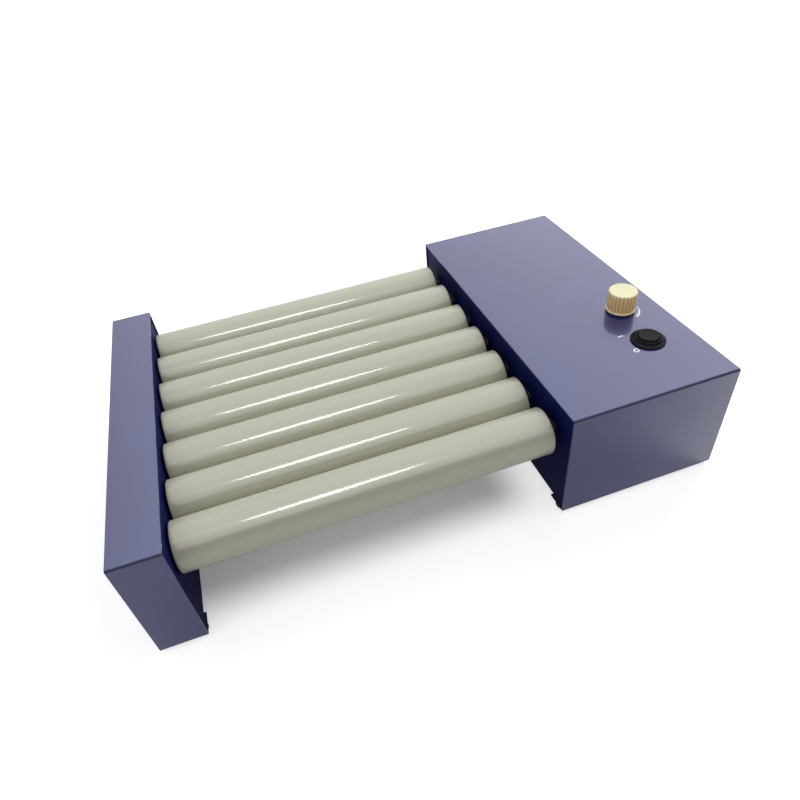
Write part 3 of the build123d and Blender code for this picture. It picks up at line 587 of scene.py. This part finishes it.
def fold_share(mesh, low, high):
    """How much each point lies in a fold: over an upper bend, a sine wave of twice the angle round
    it, and over a lower bend, a sine wave of the angle, which stays at 1 on the lip."""
    points = np.empty(len(mesh.vertices) * 3, np.float32)
    mesh.vertices.foreach_get("co", points)
    across, height = points.reshape(-1, 3)[:, 1:].T
    out = np.maximum(np.maximum(low.y - across, across - high.y) + fold_radius, 0)
    above = np.maximum(height - high.z + fold_radius, 0)
    below = np.maximum(low.z + fold_radius - height, 0)
    return np.sin(2 * np.arctan2(above, out)) * (above > 0) + np.sin(np.arctan2(below, out))


enamel, tree, shader, place = finish(
    "blue_powder_coat", IOR=1.5, Coat_Roughness=0.08, Coat_IOR=1.5)
patches = node(tree, "ShaderNodeTexNoise", {"Vector": place, "Scale": 1 / patch_size,
                                            "Detail": 3.0})
patches = node(tree, "ShaderNodeMapRange", {"Value": patches.outputs["Fac"], "From Min": 0.3,
                                            "From Max": 0.7})
flat = node(tree, "ShaderNodeMix", {"Factor": patches.outputs[0], 6: linear(coat_deep),
                                    7: linear(coat_blue)}, data_type="RGBA")
# Over the folds and the lips the colour turns to a painted shade.
fold = node(tree, "ShaderNodeAttribute", attribute_name="fold")
colour = node(tree, "ShaderNodeMix", {"Factor": fold.outputs["Fac"], 6: flat.outputs[2],
                                      7: linear(painted_fold_shade)}, data_type="RGBA")
tree.links.new(colour.outputs[2], shader.inputs["Base Color"])
thin = node(tree, "ShaderNodeMapRange", {"Value": fold.outputs["Fac"], "To Min": 1.0,
                                         "To Max": 0.05})
tree.links.new(thin.outputs[0], shader.inputs["Coat Weight"])
rough = node(tree, "ShaderNodeMapRange", {"Value": fold.outputs["Fac"], "To Min": 0.32,
                                          "To Max": 0.8})
tree.links.new(rough.outputs[0], shader.inputs["Roughness"])
powder_coat(tree, shader, place)

knob_low, knob_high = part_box("speed_knob")
switch_low, switch_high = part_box("power_switch")
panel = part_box("drive_cover")[1].z
panel_middle = panel - cover_sheet / 2
knob_middle = (knob_low + knob_high) / 2
switch_middle = (switch_low + switch_high) / 2
control_holes = [
    (knob_middle.x, knob_middle.y, panel_middle, control_hole),
    (switch_middle.x, switch_middle.y, panel_middle, switch_hole),
]
for side in ("drive", "idler"):
    low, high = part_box(f"{side}_cover")
    middle = (low.x + high.x) / 2
    screws = (low.x + screw_from_end, high.x - screw_from_end) if side == "drive" else (middle,)
    holes = [(x, y, low.z + cover_sheet / 2, screw_hole)
             for x in screws for y in (low.y + screw_from_face, high.y - screw_from_face)]
    if side == "drive":
        holes += control_holes
    sheet = drilled(folded_sheet(f"{side}_cover_sheet", low, high), holes)
    attribute = sheet.attributes.new("fold", "FLOAT", "POINT")
    attribute.data.foreach_set("value", fold_share(sheet, low, high).astype(np.float32))
    piece(f"{side}_cover_sheet", sheet, enamel, "frame", "blue_sheet", f"{side}_cover")


# Printed marks on the panel: white ink, screen-printed, slightly raised, and matt beside the
# glossy coat. A tapered arc goes round the knob, and a bar and a ring beside the switch stand for
# on and off. The print's grain is drawn coarser than a real screen's, to show.
ink_white = "#FFFFFF"
ink_thin = "#E4E5EC"
ink_thickness = 0.00004
edge_slope = 0.04
screen_mesh = 0.0005

ink, tree, shader, place = finish("white_screen_print", Roughness=0.5, IOR=1.5)
speckle = node(tree, "ShaderNodeTexNoise", {"Vector": place, "Scale": 1 / screen_mesh,
                                            "Detail": 2.0})
share = node(tree, "ShaderNodeMapRange", {"Value": speckle.outputs["Fac"], "From Min": 0.2,
                                          "From Max": 0.45})
colour = node(tree, "ShaderNodeMix", {"Factor": share.outputs[0], 6: linear(ink_thin),
                                      7: linear(ink_white)}, data_type="RGBA")
tree.links.new(colour.outputs[2], shader.inputs["Base Color"])


def band(name, right, left, ring=False):
    """A flat printed band between two lines of points [n, 2], to the right and left of its course:
    the top lies one ink thickness above the panel, the sides slope down into the paint, and a
    hidden face below closes it. A ring goes on to its own start, and other bands get two ends."""
    grow = (right - left) * edge_slope
    rows = np.stack([right + grow, right, left, left - grow])
    height = panel + ink_thickness * np.array([-0.5, 1, 1, -0.5])
    height = np.repeat(height[:, None, None], rows.shape[1], axis=1)
    first = np.arange(4) * rows.shape[1]
    ends = [] if ring else [first.tolist(), (first[::-1] + rows.shape[1] - 1).tolist()]
    mesh = smooth_mesh(name, np.concatenate([rows, height], axis=-1), True, ring, caps=ends)
    piece(name, mesh, ink, "frame", "cream_plastic")


knob_centre = np.array(knob_middle.xy)
arc_radius = 0.0133
arc_start, arc_end = -66, -4
arc_thick, arc_thin = 0.0021, 0.0005
arc_steps = 40

angle = np.radians(np.linspace(arc_start, arc_end, arc_steps))
around = np.stack([np.cos(angle), np.sin(angle)], axis=-1)
width = np.linspace(arc_thick, arc_thin, arc_steps)[:, None] / 2
band("speed_arc", knob_centre + around * (arc_radius + width),
     knob_centre + around * (arc_radius - width))

on_place = np.array([0.1494, -0.0652])
off_place = np.array([0.1498, -0.0831])
mark_height = 0.0042
stroke = 0.0011
bar_steps = 12
ring_steps = 48

bar = np.linspace(-mark_height / 2, mark_height / 2, bar_steps)
line = np.stack([bar, np.zeros(bar_steps)], axis=-1)
band("on_bar", on_place + line - (0, stroke / 2), on_place + line + (0, stroke / 2))
angle = np.linspace(0, 2 * np.pi, ring_steps, endpoint=False)
around = np.stack([np.cos(angle), np.sin(angle)], axis=-1)
band("off_ring", off_place + around * mark_height / 2,
     off_place + around * (mark_height / 2 - stroke), ring=True)


# The speed knob: moulded in cream plastic and pushed onto its spindle, with rounded ribs between
# shallow grooves, a thin flared rim that the ribs scallop, and a bevelled, slightly dished top.
# Light goes a little way in. The top keeps the cream colour, and the sides and the grooves get a
# painted shade, golden on the sides and golden brown in the grooves.
knob_cream = "#FFFBD2"
knob_side_shade = "#FFE9A6"
knob_groove_shade = "#EDA952"
knob_ribs = 24
rib_steps = 14
groove_depth = 0.00075
rib_fullness = 0.8
rim_height = 0.0016
rim_flare = 0.0006
top_bevel = 0.0009
dish_depth = 0.0003
side_draft = 0.0002
soft_edge = 0.0002
recess_radius = 0.0075
recess_depth = 0.0035
light_reach = (0.002, 0.0012, 0.0006)

cream, tree, shader, place = finish(
    "cream_moulded_plastic", Roughness=0.38, IOR=1.5, Subsurface_Weight=0.08)
shader.inputs["Subsurface Radius"].default_value = light_reach
grain = node(tree, "ShaderNodeTexNoise", {"Vector": place, "Scale": 1 / mould_grain, "Detail": 3.0})
groove_shade = node(tree, "ShaderNodeAttribute", attribute_name="groove_shade")
side = node(tree, "ShaderNodeAttribute", attribute_name="side")
# Painted shade: the sides go golden, and the grooves golden brown.
ribs = node(tree, "ShaderNodeMix", {"Factor": side.outputs["Fac"], 6: linear(knob_cream),
                                    7: linear(knob_side_shade)}, data_type="RGBA")
colour = node(tree, "ShaderNodeMix", {"Factor": groove_shade.outputs["Fac"], 6: ribs.outputs[2],
                                      7: linear(knob_groove_shade)}, data_type="RGBA")
tree.links.new(colour.outputs[2], shader.inputs["Base Color"])
bump = node(tree, "ShaderNodeBump", {"Height": grain.outputs["Fac"], "Strength": 0.15,
                                     "Distance": 0.00005})
tree.links.new(bump.outputs[0], shader.inputs["Normal"])

base_radius = (knob_high.x - knob_low.x) / 2
top_radius = base_radius - side_draft
# Each profile row: height, radius, how deep the grooves go there, which also sets their painted shade,
# and how much painted shade turns the plastic golden, from the hollow below up over the rim and side
# to the dished top. Flat faces close both ends.
# Round the knob, the depth is 1 less a power of the sine of half the ribs' angle.
profile = np.array([
    (knob_low.z + recess_depth, recess_radius, 0, 1),
    (knob_low.z + soft_edge, recess_radius, 0, 1),
    (knob_low.z, recess_radius + soft_edge, 0, 1),
    (knob_low.z, base_radius - 2 * soft_edge, 0.3, 0.6),
    (knob_low.z + soft_edge, base_radius, 0.4, 0.3),
    (knob_low.z + 0.7 * rim_height, base_radius, 0.4, 0.3),
    (knob_low.z + rim_height, base_radius - rim_flare, 0.8, 0.8),
    (knob_low.z + 1.3 * rim_height, top_radius - 0.2 * rim_flare, 1, 1),
    (knob_high.z - 3.5 * top_bevel, top_radius, 1, 1),
    (knob_high.z - top_bevel, top_radius, 1, 0.5),
    (knob_high.z - 0.35 * top_bevel, top_radius - 0.35 * top_bevel, 0.5, 0.1),
    (knob_high.z, top_radius - 1.1 * top_bevel, 0, 0),
    (knob_high.z, top_radius - 2.0 * top_bevel, 0, 0),
    (knob_high.z - dish_depth, top_radius - 3.5 * top_bevel, 0, 0),
])
angle = np.linspace(0, 2 * np.pi, knob_ribs * rib_steps, endpoint=False)
ripple = 1 - np.abs(np.sin(knob_ribs * angle / 2)) ** rib_fullness
depth = profile[:, 2:3] * ripple
reach = profile[:, 1:2] - groove_depth * depth
heights = np.repeat(profile[:, 0:1], len(angle), axis=1)
points = np.stack([knob_centre[0] + reach * np.cos(angle), knob_centre[1] + reach * np.sin(angle),
                   heights], axis=-1)
ring = np.arange(len(angle))
closing = [ring[::-1].tolist(), (ring + (len(profile) - 1) * len(angle)).tolist()]
mesh = smooth_mesh("ribbed_knob", points, False, True, sharp=40, caps=closing)
side_shade_share = np.repeat(profile[:, 3:4], len(angle), axis=1)
for name, share in (("groove_shade", depth), ("side", side_shade_share)):
    attribute = mesh.attributes.new(name, "FLOAT", "POINT")
    attribute.data.foreach_set("value", share.ravel().astype(np.float32))
piece("ribbed_knob", mesh, cream, "knob", "cream_plastic", "speed_knob")


# The power switch, its ring nut and the inlet's socket: moulded in black nylon, with a satin look.
# The switch has a sloping flange and a raised collar, and the nut below holds it in the panel.
switch_black = "#0C0D12"
switch_jet = "#060609"

black, tree, shader, place = finish(
    "black_nylon", Roughness=0.45, IOR=1.45, Specular_IOR_Level=0.12)
grain = node(tree, "ShaderNodeTexNoise", {"Vector": place, "Scale": 1 / mould_grain, "Detail": 3.0})
colour = node(tree, "ShaderNodeMix", {"Factor": grain.outputs["Fac"], 6: linear(switch_jet),
                                      7: linear(switch_black)}, data_type="RGBA")
tree.links.new(colour.outputs[2], shader.inputs["Base Color"])
bump = node(tree, "ShaderNodeBump", {"Height": grain.outputs["Fac"], "Strength": 0.1,
                                     "Distance": 0.00005})
tree.links.new(bump.outputs[0], shader.inputs["Normal"])
wear(["power_switch", "switch_nut", "power_inlet"], black)


# The push button in the switch: dark grey nylon, moulded, dull, with a shallow dish for the
# finger. It slides in the collar on a spring.
button_grey = "#1C1D1D"
button_dark = "#151616"

grey, tree, shader, place = finish(
    "dark_grey_nylon", Roughness=0.45, IOR=1.45, Specular_IOR_Level=0.1)
grain = node(tree, "ShaderNodeTexNoise", {"Vector": place, "Scale": 1 / mould_grain, "Detail": 3.0})
colour = node(tree, "ShaderNodeMix", {"Factor": grain.outputs["Fac"], 6: linear(button_dark),
                                      7: linear(button_grey)}, data_type="RGBA")
tree.links.new(colour.outputs[2], shader.inputs["Base Color"])
wear(["switch_button"], grey)


# The feet: eight stick-on pads of moulded black rubber with a softened lower edge. They look dull
# black and mirror nothing.
rubber_black = "#0E0E0F"
rubber_grey = "#222224"

rubber, tree, shader, place = finish("black_rubber", Roughness=0.8, IOR=1.5)
grain = node(tree, "ShaderNodeTexNoise", {"Vector": place, "Scale": 1 / mould_grain, "Detail": 4.0})
colour = node(tree, "ShaderNodeMix", {"Factor": grain.outputs["Fac"], 6: linear(rubber_black),
                                      7: linear(rubber_grey)}, data_type="RGBA")
tree.links.new(colour.outputs[2], shader.inputs["Base Color"])
wear(["rubber_feet"], rubber)


bpy.context.view_layer.update()
